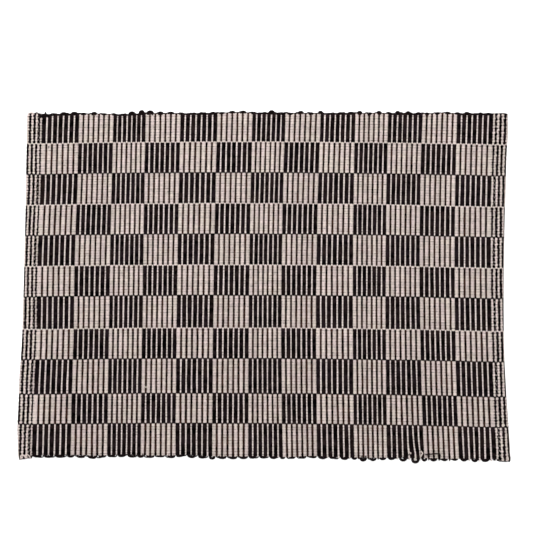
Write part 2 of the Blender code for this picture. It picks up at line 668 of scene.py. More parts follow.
    def middle(self, rib: Floats, end: Floats, push: Floats | float = 0.0) -> Placed:
        """Gives the middle of the cloth's thickness at places of the weave.

        Args:
            rib: Places along the cloth, counted in ribs.
            end: Places across it, counted in ends; a whole number and a half is an end's middle.
            push: How far the places are moved along the cloth.

        Returns:
            X, Y and Z, and the X and Z of the way out through the front face.
        """
        weave = self.weave
        knot = end / weave.ends * (self.knots_across - 1)
        wander = self.rib_wander * between(self._rib_table, rib - weave.first_pick, knot)
        wander = wander + self.stitch_pull * self.pulled(rib, end)
        x, y, z, out_x, out_z = self.centre(weave.length_to(rib) + push + wander, end)
        # The layer below a hem rises and falls with the one above it.
        over = np.abs(rib)
        fold_rib = weave.last_rib + weave.hem_picks
        over = np.where(over > fold_rib, 2.0 * fold_rib - over, over)
        along = over / fold_rib * (self.knots_along - 1)
        y = y + self.end_wander * between(self._end_table, end, along)
        z = z + self.swell * between(self._swell_table, along, knot)
        flat_x, flat_y = x / MM, y / MM
        for aside_x, aside_y, shift_x, shift_y, reach_x, reach_y in self.lies_aside:
            far_off = ((flat_x - aside_x) / reach_x) ** 2 + ((flat_y - aside_y) / reach_y) ** 2
            there = MM * np.exp(-far_off)
            x = x + shift_x * there
            y = y + shift_y * there
        return x, y, z, out_x, out_z

    def pulled(self, rib: Floats, end: Floats) -> Floats:
        """Says how a hem's stitches pull its grooves, from -1 to 1 by turns along the hem."""
        weave = self.weave
        pitch = self.stitch_pitch * weave.ends / (2.0 * self.half_width)
        sway = np.sin(2.0 * math.pi * (end / pitch + self.stitch_lag * rib))
        in_hem = (rib < weave.first_rib - 0.5) | (rib > weave.last_rib + 0.5)
        return np.where(in_hem, sway * np.where(np.floor(rib) % 2 == 0, 1.0, -1.0), 0.0)

    def points(self, rib: Floats, end: Floats, face: Floats) -> Floats:
        """Lays out points of the woven surface.

        Args:
            rib: Places along the cloth, counted in ribs.
            end: Places across it, counted in ends; a whole number and a half is an end's middle.
            face: The values of Face.

        Returns:
            The points, one row of X, Y and Z for each.
        """
        weave = self.weave
        number = np.floor(rib + ROUNDING).clip(weave.first_pick, weave.last_pick - 1).astype(int)
        share = rib - number
        in_groove = (np.abs(share) < ROUNDING) | (share > 1.0 - ROUNDING)
        swell = (1.0 - (2.0 * share - 1.0) ** 2).clip(0.0) ** self.rib_roundness
        beside = weave.in_hem(number) | weave.in_hem(number - 1)
        crest = np.where(weave.is_thick(number), self.thick_crest, self.thin_crest)
        crest = np.where(weave.in_hem(number), self.hem_crest, crest)
        groove = np.where(beside, self.hem_groove, self.groove)

        whole = np.floor(end).astype(int)
        chance = self._bar_table[number - weave.first_pick, whole]
        shown = (whole + number + (face + 1).astype(int) // 2) % 2 == 0
        relief = np.where(weave.in_hem(number), self.hem_bar_relief, self.bar_relief)
        bar = np.where(shown, 0.5, -0.5) * relief + self.bar_unevenness * chance
        half = groove + (crest - groove + bar) * swell
        half = half * self.thinning(end)

        push = self.pressed(number, whole, face, beside, chance)
        share = self.line_share_in_groove
        share = share + (self.line_share_on_crest - self.line_share_in_groove) * swell
        placed = weave.pinched(end, share)
        x, y, z, out_x, out_z = self.middle(rib, placed, np.where(in_groove, push, 0.0))
        y = y + self.bulge(number, swell * (crest - groove), end)
        return np.stack((x + out_x * half * face, y, z + out_z * half * face), axis=-1)

    def pressed(
        self, groove: Whole, end: Whole, face: Floats, in_hem: Flags, chance: Floats
    ) -> Floats:
        """Gives how far the grooves between ribs are pressed along the cloth.

        Args:
            groove: The grooves, each numbered as the rib after it.
            end: The warp ends there.
            face: The values of Face.
            in_hem: Which of the grooves belong to a hem.
            chance: A random number for each, about 0.

        Returns:
            The distances, which alternate from end to end and are larger beside black ribs.
        """
        scallop = np.where(in_hem, self.hem_scallop, self.scallop)
        uneven = np.where(in_hem, self.hem_scallop_unevenness, self.scallop_unevenness)
        press = np.where((end + groove) % 2 == 0, 1.0, -1.0) * face * scallop + uneven * chance
        weave = self.weave
        side = weave.fuller_side(groove, end, face)
        black = np.where(side > 0.0, groove - 1, groove)
        thin = np.interp(end / weave.ends, (0.5, 1.0), self.thin_fullness)
        fullness = np.where(weave.is_thick(black), self.thick_fullness, thin)
        fuller = side * np.where(in_hem, self.hem_fullness, fullness)
        fuller = np.where(groove == weave.first_rib - 1, fuller + self.pick_press, fuller)
        fuller = np.where(groove == weave.first_rib, -self.seam_press, fuller)
        return press + np.where(groove == weave.last_rib, self.seam_press, fuller)

    def thinning(self, end: Floats) -> Floats:
        """Gives how much of its thickness the cloth keeps at places near its woven edges."""
        inward = np.minimum(end, self.weave.ends - end)
        return np.interp(inward, self.thinned_ends, self.thinned_to)

    def bulge(self, rib: Whole, height: Floats, end: Floats) -> Floats:
        """Gives how far a rib's end stands out in Y at the woven edges.

        Args:
            rib: The ribs.
            height: How far each place stands above its groove.
            end: Places across the cloth, counted in ends.

        Returns:
            The distances to add to Y.
        """
        weave = self.weave
        far = np.where(end < self.edge_row, 1.0, 0.0)
        near = np.where(end > weave.ends - self.edge_row, 1.0, 0.0)
        # The near edge's turns join the thick ribs two by two, so every other thin rib is free.
        free = weave.is_thin(rib) & weave.turned_at_far_edge(rib)
        along = (rib - weave.first_rib) / (weave.last_rib - weave.first_rib)
        grown = eased(self.poke_slope * along - self.poke_delay)
        poke = self.poke_left + (self.poke_right - self.poke_left) * grown
        poke = np.where(free, poke * height / (self.thin_crest - self.groove), 0.0)
        stand = self.rib_end_bulge * height / self.thick_crest
        return far * stand - near * (stand + poke)


@dataclass
class ClothLength:
    """One length of the woven cloth, a closed sheet whose warp bars and ribs are all there.

    The cloth is one piece. Its mesh is made in lengths that meet in the grooves between ribs.
    """

    name: str
    laid: LaidCloth
    first: int  # the first rib
    last: int  # one more than the last rib
    thick_steps: int = 4  # columns of faces over a thick rib
    thin_steps: int = 3
    # Where the map has the front, the back beside it, and a strip for each rim.
    map_corner: tuple[float, float] = (0.01, 0.03)
    map_size: tuple[float, float] = (0.46, 0.94)
    back_shift: float = 0.52
    end_strips: Triple = (0.005, 0.975, 0.015)  # first, to the second, width
    side_strips: Triple = (0.478, 0.024, 0.020)

    def columns(self) -> Floats:
        """Places along the cloth, in ribs, where the sheet has its columns of points."""
        places: list[float] = []
        for rib in range(self.first, self.last):
            thick = self.laid.weave.is_thick(np.array(rib))
            steps = self.thick_steps if thick else self.thin_steps
            places.extend(rib + step / steps for step in range(steps))
        return np.array([*places, float(self.last)])

    def rows(self) -> Floats:
        """Places across the cloth, in ends, where the sheet has its rows of points."""
        ends = self.laid.weave.ends
        return np.concatenate(([0.0], np.arange(ends) + 0.5, [float(ends)]))

    def counted_sheet(self, columns: int, rows: int) -> bpy.types.Mesh:
        """Makes a closed sheet whose points are numbered by column, row and face.

        Args:
            columns: How many columns of faces it has.
            rows: How many rows of faces.

        Returns:
            The mesh, with its front at Z 1 and its back at Z -1.
        """
        work = bmesh.new()
        bmesh.ops.create_grid(work, x_segments=columns, y_segments=rows, size=1.0)
        bmesh.ops.scale(work, verts=work.verts, vec=(columns / 2.0, rows / 2.0, 1.0))
        bmesh.ops.translate(work, verts=work.verts, vec=(columns / 2.0, rows / 2.0, -1.0))
        made = bmesh.ops.extrude_face_region(work, geom=work.faces[:], use_keep_orig=True)
        verts = [part for part in made["geom"] if isinstance(part, bmesh.types.BMVert)]
        bmesh.ops.translate(work, verts=verts, vec=(0.0, 0.0, 2.0))
        bmesh.ops.recalc_face_normals(work, faces=work.faces)
        return poured(work, self.name)

    def build(self, warp: list[bpy.types.Material]) -> bpy.types.Object:
        """Builds the length and dresses it.

        Args:
            warp: The warp yarns' materials, in the order of Cotton, and then their lighter copies,
                painted light, for the thin ribs.

        Returns:
            The finished piece.
        """
        columns = self.columns()
        rows = self.rows()
        mesh = self.counted_sheet(len(columns) - 1, len(rows) - 1)
        counted = read_points(mesh)
        column = np.round(counted[:, 0]).astype(int)
        # Row 0 is at the far edge, so the rows run against Y.
        row = np.round(len(rows) - 1 - counted[:, 1]).astype(int)
        face = np.round(counted[:, 2])
        corners = read_corners(mesh)
        write_points(mesh, self.laid.points(columns[column], rows[row], face))
        self.colour(mesh, columns[column], row, face, corners)
        self.map_threads(mesh, columns[column], rows[row], face, corners)
        self.map_sheet(mesh, counted, corners)
        return finished(self.name, mesh, warp)

    def side_of(self, face: Floats, corners: Whole) -> Whole:
        """Gives the value of Face that each face counts with; a rim counts with the front."""
        return np.where(face[corners].mean(axis=1) > -0.5, Face.FRONT.value, Face.BACK.value)

    def rib_of(self, rib: Floats, corners: Whole) -> Whole:
        """Gives the rib that each face belongs to."""
        return np.floor(rib[corners].mean(axis=1)).astype(int).clip(self.first, self.last - 1)

    def colour(
        self, mesh: bpy.types.Mesh, rib: Floats, row: Whole, face: Floats, corners: Whole
    ) -> None:
        """Gives each face the yarn that passes over the weft there.

        Args:
            mesh: The sheet.
            rib: Each point's place along the cloth, in ribs.
            row: Each point's row.
            face: Each point's value of Face.
            corners: The points of each face.
        """
        weave = self.laid.weave
        strip = row[corners].min(axis=1)
        side = self.side_of(face, corners)
        number = self.rib_of(rib, corners)
        yarn = weave.yarn(weave.shown_end(number, strip, side))
        # The thin ribs take lighter copies of the yarns: painted light, as they lie lower, in the shade
        # of the thick ribs.
        yarn = yarn + len(Cotton) * weave.is_thin(number)
        yarn = np.where(weave.bare_weft(number, strip, side), Cotton.BLACK.value, yarn)
        mesh.polygons.foreach_set("material_index", yarn.astype(np.int32))

    def map_threads(
        self, mesh: bpy.types.Mesh, rib: Floats, end: Floats, face: Floats, corners: Whole
    ) -> None:
        """Maps the ribs along u, and the bars of each rib along v with a whole number between two.

        Args:
            mesh: The sheet.
            rib: Each point's place along the cloth, in ribs.
            end: Each point's place across it, in ends.
            face: Each point's value of Face.
            corners: The points of each face.
        """
        number = self.rib_of(rib, corners)
        shed = (number + (self.side_of(face, corners) + 1) // 2) % 2
        along = rib[corners]
        bars = (end[corners] + 0.5 - shed[:, None]) / 2.0
        write_map(mesh, THREAD_MAP, np.stack((along, bars), axis=-1))

    def map_sheet(self, mesh: bpy.types.Mesh, counted: Floats, corners: Whole) -> None:
        """Lays the two faces side by side in a map, with the rims in strips between and beyond them.

        Args:
            mesh: The sheet.
            counted: Each point's column, row and face.
            corners: The points of each face.
        """
        column = counted[:, 0][corners] / counted[:, 0].max()
        row = counted[:, 1][corners] / counted[:, 1].max()
        level = (counted[:, 2][corners] + 1.0) / 2.0
        front = level.min(axis=1) > 0.5
        back = level.max(axis=1) < 0.5
        end_rim = ~front & ~back & (np.ptp(row, axis=1) < ROUNDING)
        side_rim = ~front & ~back & ~end_rim
        u = self.map_corner[0] + self.map_size[0] * column
        v = self.map_corner[1] + self.map_size[1] * row
        u[back] += self.back_shift
        for rim, place, whole, (start, step, width) in (
            (end_rim, v, row, self.end_strips),
            (side_rim, u, column, self.side_strips),
        ):
            second = whole[rim].mean(axis=1).round()[:, None]
            place[rim] = start + step * second + width * level[rim]
        write_map(mesh, SHEET_MAP, np.stack((u, v), axis=-1))

    def flat_size(self) -> tuple[float, float]:
        """The length and the width that this part of the cloth was cut to."""
        places = self.laid.weave.length_to(np.array([float(self.first), float(self.last)]))
        lines = np.array(self.laid.band_lines) * MM
        return float(places[1] - places[0]), float(lines[0].mean() - lines[-1].mean())


@dataclass
class YarnRuns:
    """Many short runs of yarn in one mesh, each a closed tube along its own path."""

    sides: int
    rings: int
    ply_pitch: float  # along the yarn, for one turn of its plies
    run_shift: float = 7.3  # from one run's pattern to the next one's, in turns
    # Where a run's strip of the map has its side and its caps, as starts and sizes.
    side_along: tuple[float, float] = (0.03, 0.92)
    side_across: tuple[float, float] = (0.04, 0.92)
    cap_along: Triple = (0.005, 0.95, 0.02)  # first, to the second, size

    def tube(self) -> bpy.types.Mesh:
        """Makes one closed tube, whose points are numbered by ring in Z and by side around it."""
        work = bmesh.new()
        bmesh.ops.create_cone(
            work,
            cap_ends=True,
            cap_tris=False,
            segments=self.sides,
            radius1=1.0,
            radius2=1.0,
            depth=float(self.rings),
        )
        rises = [abs(edge.verts[0].co.z - edge.verts[1].co.z) for edge in work.edges]
        upright = [edge for edge, rise in zip(work.edges, rises) if rise > ROUNDING]
        bmesh.ops.subdivide_edges(work, edges=upright, cuts=self.rings - 1, use_grid_fill=True)
        bmesh.ops.translate(work, verts=work.verts, vec=(0.0, 0.0, self.rings / 2.0))
        bmesh.ops.recalc_face_normals(work, faces=work.faces)
        return poured(work, "tube")

    def build(
        self, name: str, paths: Floats, radii: Floats, yarn: bpy.types.Material
    ) -> bpy.types.Object:
        """Lays a tube along each path.

        Args:
            name: The piece's name.
            paths: The paths, counted by run and by ring, with X, Y and Z.
            radii: The yarn's radius, counted by run and by ring.
            yarn: The yarn's material.

        Returns:
            The finished piece.
        """
        # No yarn lies lower than on the table.
        paths[..., 2] = np.maximum(paths[..., 2], radii)
        tube = self.tube()
        work = bmesh.new()
        for _ in paths:
            work.from_mesh(tube)
        mesh = poured(work, name)
        counted = read_points(mesh)
        run = np.arange(len(counted)) // len(tube.vertices)
        bpy.data.meshes.remove(tube)
        ring = np.round(counted[:, 2]).astype(int)
        around = np.arctan2(counted[:, 1], counted[:, 0])
        write_points(mesh, self.points(paths, radii, run, ring, around))
        self.map_yarn(mesh, paths, run, ring, around)
        return finished(name, mesh, [yarn])

    def points(
        self, paths: Floats, radii: Floats, run: Whole, ring: Whole, around: Floats
    ) -> Floats:
        """Lays out the points of the tubes around their paths.

        Args:
            paths: The paths, counted by run and by ring.
            radii: The radii, likewise.
            run: Each point's run.
            ring: Each point's ring.
            around: Each point's angle around the yarn.

        Returns:
            The points, one row of X, Y and Z for each.
        """
        ahead = np.gradient(paths, axis=1)
        ahead /= np.linalg.norm(ahead, axis=2, keepdims=True)
        aside = np.cross(np.array([0.0, 0.0, 1.0]), ahead)
        aside /= np.linalg.norm(aside, axis=2, keepdims=True)
        above = np.cross(ahead, aside)
        radius = radii[run, ring][:, None]
        across = np.cos(around)[:, None] * aside[run, ring]
        up = np.sin(around)[:, None] * above[run, ring]
        return paths[run, ring] + radius * (across + up)

    def map_yarn(
        self, mesh: bpy.types.Mesh, paths: Floats, run: Whole, ring: Whole, around: Floats
    ) -> None:
        """Maps each run along u in turns of its plies and around it in v, and lays the runs out.

        Args:
            mesh: The tubes.
            paths: The paths, counted by run and by ring.
            run: Each point's run.
            ring: Each point's ring.
            around: Each point's angle around the yarn.
        """
        steps = np.linalg.norm(np.diff(paths, axis=1), axis=2)
        along = np.concatenate((np.zeros((len(paths), 1)), np.cumsum(steps, axis=1)), axis=1)
        points = np.empty(len(mesh.loops), np.int32)
        mesh.loops.foreach_get("vertex_index", points)
        starts = np.empty(len(mesh.polygons), np.int32)
        counts = np.empty(len(mesh.polygons), np.int32)
        mesh.polygons.foreach_get("loop_start", starts)
        mesh.polygons.foreach_get("loop_total", counts)
        turn = around[points] / (2.0 * math.pi) % 1.0
        # A face across the seam keeps its two sides together.
        face = np.repeat(np.arange(len(counts)), counts)
        high = np.zeros(len(counts))
        np.maximum.at(high, face, turn)
        wraps = (high[face] - turn > 0.5) & (counts[face] == 4)
        turn = turn + wraps
        u = along[run[points], ring[points]] / self.ply_pitch + self.run_shift * run[points]
        write_map(mesh, THREAD_MAP, np.stack((u, turn), axis=-1))
        cap = counts[face] > 4
        side = 0.5 * np.cos(around[points]) + 0.5
        rise = 0.5 * np.sin(around[points]) + 0.5
        share = ring[points] / self.rings
        cap_u = self.cap_along[0] + self.cap_along[1] * share + self.cap_along[2] * side
        flat_u = np.where(cap, cap_u, self.side_along[0] + self.side_along[1] * share)
        flat_v = np.where(cap, rise, turn / (1.0 + 1.0 / self.sides))
        flat_v = run[points] + self.side_across[0] + self.side_across[1] * flat_v
        write_map(mesh, SHEET_MAP, np.stack((flat_u, flat_v * (1.0 / len(paths))), axis=-1))


@dataclass
class WeftTurns:
    """The turns of the thick, the thin and the hems' black weft along one woven edge.

    The weft goes from one rib to the next of its own kind, by the near edge and the far edge in
    turn. The turns differ as a weaver's hand leaves them, and a few named ones stand out. A pair of
    numbers that vary at random is their least and most.
    """

    laid: LaidCloth
    edge: Edge
    seed: int
    usual_reach: float  # of the thick weft's middle, from the cloth's edge
    standing: tuple[tuple[float, float], ...]  # where a turn stands out, and its reach, in mm
    reach_spread: float = 0.35 * MM
    most_spread: float = 1.6  # the most that chance adds to a reach or takes, in spreads
    thick_radius: float = 1.25 * MM
    thick_radii: tuple[float, float] = (0.86, 1.06)  # shares of that radius
    thick_levels: tuple[float, float] = (-0.15 * MM, 0.15 * MM)
    under_warp: float = 0.82  # how thick the yarn stays under the warp, as a share
    slack_fullness: float = 200.0  # how much fuller a turn is for each metre it reaches further
    thin_radius: float = 0.68 * MM
    thin_reach: float = 1.0 * MM
    thin_reaches: tuple[float, float] = (0.5, 1.2)  # shares of that reach
    thin_slope: tuple[float, float] = (1.0, 1.0)  # its share at the left end and at the right
    thin_levels: tuple[float, float] = (-0.60 * MM, -0.60 * MM)  # likewise, from the cloth's middle
    thin_level_shares: tuple[float, float] = (0.6, 1.0)
    inset: float = 1.3 * MM  # where the turn starts to curve, inside the cloth's edge
    depth: float = 2.6 * MM  # how much further the yarn is followed under the warp
    leg: float = 0.2  # the share of a run that lies straight at each end
    lean: float = 0.10  # how far a turn's peak may lie to one side, as a share of its width
    # 1 is a round turn, and less is a squarer one, at the left end of the edge and at the right.
    squareness: tuple[float, float] = (0.6, 0.6)
    lift: float = 0.0  # how far the thick turns' peaks lie above the cloth's middle
    gather: float = 0.04  # the most that each end of a turn draws in, as a share of its width
    # How much wider than its two ribs a turn is, at the left end of the edge and at the right.
    widths: tuple[float, float] = (0.0, 0.0)
    width_spread: float = 0.06
    width_beat: float = 7.0  # how fast that spread comes and goes from turn to turn
    # Where the hem wefts' turns start, in ribs. Each start is followed by two more.
    hem_starts: tuple[float, ...] = ()
    hem_step: float = 4.0
    hem_turn: float = 2.0  # from one end of a turn to the other, in picks
    hem_radius: float = 0.52 * MM
    hem_radii: tuple[float, float] = (0.8, 1.1)  # shares of that radius
    hem_reach: float = 0.30 * MM
    hem_reaches: tuple[float, float] = (0.2, 1.6)  # shares of that reach
    hem_levels: tuple[float, float] = (-0.12 * MM, 0.12 * MM)

    @classmethod
    def along_far_edge(cls, laid: LaidCloth) -> WeftTurns:
        """The far edge's turns, which lie close to the cloth."""
        return cls(
            laid,
            Edge.FAR,
            seed=11,
            usual_reach=-0.25 * MM,
            reach_spread=0.38 * MM,
            gather=0.18,
            lift=0.35 * MM,
            slack_fullness=90.0,
            thin_reach=0.45 * MM,
            hem_reach=-0.10 * MM,
            standing=(
                (-192.2, 0.3), (-180.8, 0.6), (-161.8, 0.5), (-125.6, 1.1), (-115.6, 1.9),
                (-108.5, 1.4), (-98.0, 0.4), (-89.4, 0.3), (-30.0, 0.3), (-20.0, 0.4),
                (8.1, 1.1), (33.4, 0.9), (53.4, 1.0), (89.6, 1.0), (109.5, 0.8),
                (125.7, 0.8), (137.1, 0.8),
            ),
            hem_starts=(-4.5, -5.5, 175.5, 176.5),
        )

    @classmethod
    def along_near_edge(cls, laid: LaidCloth) -> WeftTurns:
        """The near edge's turns, which stand out and touch one another at the left."""
        return cls(
            laid,
            Edge.NEAR,
            seed=12,
            usual_reach=1.20 * MM,
            thin_reach=1.3 * MM,
            thin_slope=(1.3, 0.8),
            thin_levels=(0.55 * MM, -0.60 * MM),
            squareness=(0.34, 0.60),
            slack_fullness=70.0,
            widths=(0.52, 0.04),
            width_spread=0.09,
            standing=(
                (-158.9, 1.8), (-46.2, 2.0), (93.4, 2.4), (104.8, 2.2), (134.3, 2.6),
                (144.3, 4.0), (153.4, 2.2), (200.0, 1.9),
            ),
            hem_starts=(-2.5, -3.5, 177.5, 178.5),
        )

    @property
    def end(self) -> Floats:
        """Where the edge lies across the cloth, counted in ends."""
        return np.array(0.0 if self.edge is Edge.FAR else float(self.laid.weave.ends))

    def named(self, weft: str) -> str:
        """Gives the name of the piece that holds one weft's turns."""
        return f"{self.edge.name.lower()}_edge_{weft}_weft"

    def joined(self, ribs: Whole) -> tuple[Floats, Floats]:
        """Gives the middles of the two ribs that each turn at this edge joins.

        Args:
            ribs: The ribs over one weft, in order.

        Returns:
            The first and the second rib of each turn.
        """
        start = 0 if self.edge is Edge.NEAR else 1
        pairs = (len(ribs) - start) // 2
        first = ribs[start : start + 2 * pairs : 2]
        second = ribs[start + 1 : start + 2 * pairs : 2]
        return first + 0.5, second + 0.5

    def paths(
        self, first: Floats, second: Floats, reach: Floats, lean: Floats, level: Floats, rings: int
    ) -> Floats:
        """Lays out the paths of turns.

        Args:
            first: Where each turn starts, in ribs.
            second: Where it ends.
            reach: How far each stands out of the cloth's edge.
            lean: How far its peak lies to one side, as a share of its width.
            level: How far its peak lies above or below the cloth's middle.
            rings: How many steps a path has.

        Returns:
            The paths, counted by turn and by ring, with X, Y and Z.
        """
        share = np.linspace(0.0, 1.0, rings + 1)[None, :]
        arc = np.clip((share - self.leg) / (1.0 - 2.0 * self.leg), 0.0, 1.0) * math.pi
        into = np.clip(np.maximum(self.leg - share, share - 1.0 + self.leg), 0.0, None) / self.leg
        start_x, start_y, start_z, _, _ = self.laid.middle(first, self.end)
        stop_x, stop_y, stop_z, _, _ = self.laid.middle(second, self.end)
        across = (1.0 - np.cos(arc)) / 2.0 + lean[:, None] * np.sin(arc)
        drawn_in = self.gather * np.random.default_rng(self.seed + 5).uniform(0.0, 1.0, len(first))
        drawn_in = drawn_in[:, None] * (1.0 - into) ** 2
        across = drawn_in + (1.0 - 2.0 * drawn_in) * across
        place = np.clip(start_x / (2.0 * self.laid.band_line_reach) + 0.5, 0.0, 1.0)
        power = self.squareness[0] + (self.squareness[1] - self.squareness[0]) * place
        rise = np.sin(arc) ** power[:, None]
        wider = self.widths[0] + (self.widths[1] - self.widths[0]) * place
        wider = wider + self.width_spread * np.sin(self.width_beat * np.arange(len(first)))
        across = 0.5 + (across - 0.5) * (1.0 + wider[:, None] * rise)
        out = rise * (reach[:, None] + self.inset) - self.inset - into * self.depth
        x = start_x[:, None] + (stop_x - start_x)[:, None] * across
        base = start_y[:, None] + (stop_y - start_y)[:, None] * across
        z = start_z[:, None] + (stop_z - start_z)[:, None] * across + level[:, None] * rise
        return np.stack((x, base + self.edge.value * out, z), axis=-1)

    def build_thick(self, yarn: bpy.types.Material) -> bpy.types.Object:
        """Builds the thick weft's turns."""
        draw = np.random.default_rng(self.seed)
        first, second = self.joined(self.laid.weave.thick_ribs())
        count = len(first)
        chance = draw.normal(0.0, 1.0, count).clip(-self.most_spread, self.most_spread)
        reach = self.usual_reach + self.reach_spread * chance
        lean = draw.uniform(-self.lean, self.lean, count)
        level = draw.uniform(*self.thick_levels, count)
        radius = self.thick_radius * draw.uniform(*self.thick_radii, count)
        middles = self.laid.middle((first + second) / 2.0, self.end)[0]
        for place, stands_out in self.standing:
            reach[np.argmin(np.abs(middles - place * MM))] = stands_out * MM
        further = np.clip(reach - self.usual_reach, 0.0, None)[:, None]
        runs = YarnRuns(sides=8, rings=16, ply_pitch=3.4 * MM)
        paths = self.paths(first, second, reach, lean, level + self.lift, runs.rings)
        share = np.linspace(0.0, 1.0, runs.rings + 1)
        outside = eased(np.minimum(share, 1.0 - share) / self.leg)[None, :]
        fuller = 1.0 - self.under_warp + self.slack_fullness * further
        radii = radius[:, None] * (self.under_warp + fuller * outside)
        return runs.build(self.named("thick"), paths, radii, yarn)

    def build_thin(self, yarn: bpy.types.Material) -> bpy.types.Object:
        """Builds the thin weft's turns, which pass under the thick ones."""
        draw = np.random.default_rng(self.seed + 1)
        first, second = self.joined(self.laid.weave.thin_ribs())
        count = len(first)
        reach = self.thin_reach * draw.uniform(*self.thin_reaches, count)
        reach = reach * np.linspace(*self.thin_slope, count)
        lean = draw.uniform(-self.lean, self.lean, count)
        level = draw.uniform(*self.thin_level_shares, count)
        level = level * np.linspace(*self.thin_levels, count)
        runs = YarnRuns(sides=6, rings=10, ply_pitch=2.0 * MM)
        paths = self.paths(first, second, reach, lean, level, runs.rings)
        radii = np.full((count, runs.rings + 1), self.thin_radius)
        return runs.build(self.named("thin"), paths, radii, yarn)

    def build_hems(self, yarn: bpy.types.Material) -> bpy.types.Object:
        """Builds the turns of the hems' weft, in both layers of each hem."""
        draw = np.random.default_rng(self.seed + 2)
        first = np.concatenate([start + self.hem_step * np.arange(3) for start in self.hem_starts])
        count = len(first)
        reach = self.hem_reach * draw.uniform(*self.hem_reaches, count)
        lean = draw.uniform(-self.lean, self.lean, count)
        level = draw.uniform(*self.hem_levels, count)
        runs = YarnRuns(sides=6, rings=10, ply_pitch=1.8 * MM)
        paths = self.paths(first, first + self.hem_turn, reach, lean, level, runs.rings)
        radii = self.hem_radius * draw.uniform(*self.hem_radii, count)[:, None]
        radii = np.repeat(radii, runs.rings + 1, axis=1)
        return runs.build(self.named("hem"), paths, radii, yarn)


@dataclass
class HemStitches:
    """The slanting stitches of sewing thread that hold one hem down."""

    laid: LaidCloth
    side: Hem
    middle_seed: int = 21  # between the left hem's seed and the right one's
    radii: tuple[float, float] = (0.16 * MM, 0.20 * MM)  # of the thread, which shows less at the left
    pitch: float = 4.25 * MM
    first_place: float = 0.7  # of the first stitch, in pitches from the far edge
    free_ends: float = 3.0  # what the row leaves of the ends across the cloth
    wander: float = 0.25  # how far a stitch usually lies off its place, in ends
    pick_wander: float = 0.10  # and across the hem, in picks
    from_pick: float = 1.28  # counted outwards from the hem's inner line
    to_pick: float = 1.92
    slant: float = 1.1  # in ends
    front_height: float = 0.52 * MM  # of the thread's middle over the middle of the layer
    back_height: float = 0.30 * MM  # of its middle over the table
    back_from: float = 11.4  # in picks, over the turned-under end to the ribbed middle
    back_to: float = -0.8
    dip: float = 0.35 * MM

    def rib(self, pick: float) -> float:
        """Turns a count of picks outwards from the hem's inner line into a place in ribs."""
        weave = self.laid.weave
        return weave.first_rib - pick if self.side is Hem.LEFT else weave.last_rib + pick

    def build(self, thread: bpy.types.Material) -> bpy.types.Object:
        """Builds the hem's stitches, above and below."""
        laid = self.laid
        draw = np.random.default_rng(self.middle_seed + self.side.value)
        count = round(2.0 * laid.half_width / self.pitch) - 1
        starts = (np.arange(count) + self.first_place) / count * (laid.weave.ends - self.free_ends)
        starts = starts + draw.normal(0.0, self.wander, count)
        runs = YarnRuns(sides=6, rings=7, ply_pitch=1.1 * MM)
        share = np.linspace(0.0, 1.0, runs.rings + 1)[None, :]
        end = starts[:, None] + self.slant * share
        jitter = draw.normal(0.0, self.pick_wander, (count, 1))
        rib = self.rib(self.from_pick) + (self.rib(self.to_pick) - self.rib(self.from_pick)) * share
        rib = rib + jitter
        x, y, z, out_x, out_z = laid.middle(rib, end)
        dip = self.dip * (2.0 * share - 1.0) ** 4
        rise = self.front_height - dip
        above = np.stack((x + out_x * rise, y, z + out_z * rise), axis=-1)
        back_from = np.full((count, 1), self.rib(self.back_from))
        back_to = np.full((count, 1), self.rib(self.back_to))
        from_x, from_y = laid.middle(back_from, starts[:, None])[:2]
        to_x, to_y = laid.middle(back_to, end[:, -1:])[:2]
        x = from_x + (to_x - from_x) * share
        y = from_y + (to_y - from_y) * share
        below = np.stack((x, y, np.broadcast_to(self.back_height + dip, end.shape)), axis=-1)
        paths = np.concatenate((above, below))
        radius = self.radii[0] if self.side is Hem.LEFT else self.radii[1]
        radii = np.full((len(paths), runs.rings + 1), radius)
        return runs.build(f"{self.side.name.lower()}_hem_stitches", paths, radii, thread)


@dataclass(frozen=True)
class LooseRun:
    """One run of yarn that lies outside the weave.

    The points are given one by one: X and Y from the middle of the mat, and the height over the
    table, all in millimetres. So is the yarn's radius.
    """

    radius: float
    points: tuple[Triple, ...]

    def path(self, rings: int) -> Floats:
        """Draws a smooth line through the points, with a number of steps."""
        knots = np.array(self.points) * MM
        place = np.linspace(0.0, len(knots) - 1.0, rings + 1)
        start = np.clip(np.floor(place).astype(int), 0, len(knots) - 2)
        part = (place - start)[:, None]
        before = knots[np.maximum(start - 1, 0)]
        after = knots[np.minimum(start + 2, len(knots) - 1)]
        leave = (knots[start + 1] - before) / 2.0
        arrive = (after - knots[start]) / 2.0
        return (
            (2.0 * part**3 - 3.0 * part**2 + 1.0) * knots[start]
            + (part**3 - 2.0 * part**2 + part) * leave
            + (3.0 * part**2 - 2.0 * part**3) * knots[start + 1]
            + (part**3 - part**2) * arrive
        )


